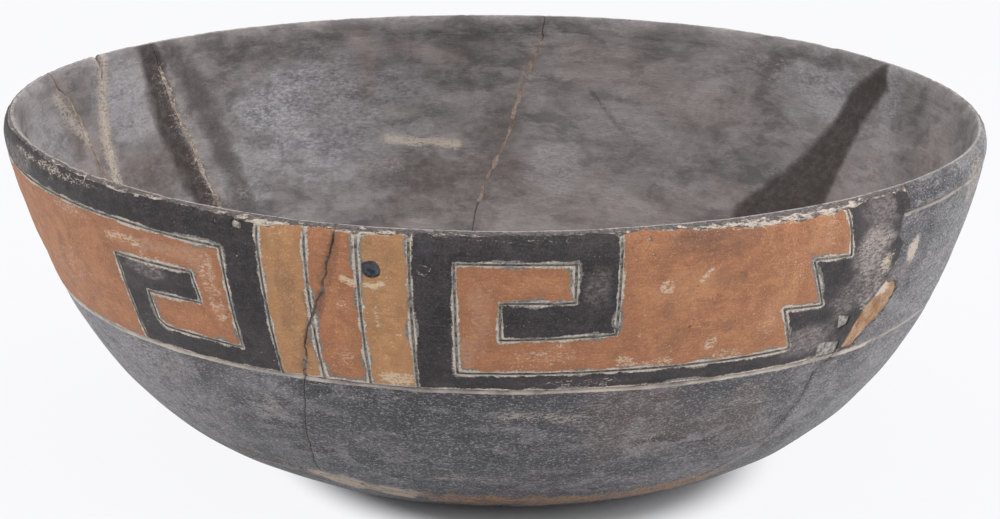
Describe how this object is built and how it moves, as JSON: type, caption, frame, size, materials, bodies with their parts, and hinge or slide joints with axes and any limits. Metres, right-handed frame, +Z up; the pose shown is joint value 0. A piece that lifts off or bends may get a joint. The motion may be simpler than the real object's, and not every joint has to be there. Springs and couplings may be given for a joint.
{
  "type": "pottery bowl",
  "caption": "Open round bowl with a flat foot and a painted, incised step-fret band under the lip, mended from sherds.",
  "frame": {"origin": "centre of the bowl's extent in plan, on the surface that the foot rests on", "axes": "+Z up, -Y towards the striped divider on the front, +X to its right"},
  "size_m": [0.2528, 0.2476, 0.0895],
  "materials": {
    "clay": "burnished",
    "light_paint": "matte, crazed",
    "amber_paint": "matte, crazed",
    "dark_paint": "satin",
    "filler": "matte",
    "loss_filler": "matte",
    "pitch": "satin"
  },
  "bodies": {
    "root": {"base_sherd": "clay", "front_sherd": "clay", "right_sherd": "clay", "rear_sherd": "clay", "rear_left_sherd": "clay", "left_rim_sherd": "clay", "left_sherd": "clay", "front_left_light": "light_paint", "front_right_light": "light_paint", "rear_left_light": "light_paint", "rear_right_light_a": "light_paint", "rear_right_light_b": "light_paint", "front_stripe_2_a": "light_paint", "front_stripe_2_b": "light_paint", "rear_stripe_2": "light_paint", "front_stripe_1_a": "amber_paint", "front_stripe_1_b": "amber_paint", "front_stripe_3": "amber_paint", "rear_stripe_1": "amber_paint", "rear_stripe_3": "amber_paint", "front_left_dark": "dark_paint", "front_right_dark": "dark_paint", "rear_left_dark": "dark_paint", "rear_right_dark_a": "dark_paint", "rear_right_dark_b": "dark_paint", "rear_right_dark_c": "dark_paint", "rear_filler": "filler", "rear_left_filler": "filler", "left_filler": "filler", "left_rim_filler": "filler", "loss_filler": "loss_filler", "lacing_hole_plug": "pitch"}
  },
  "joints": []
}
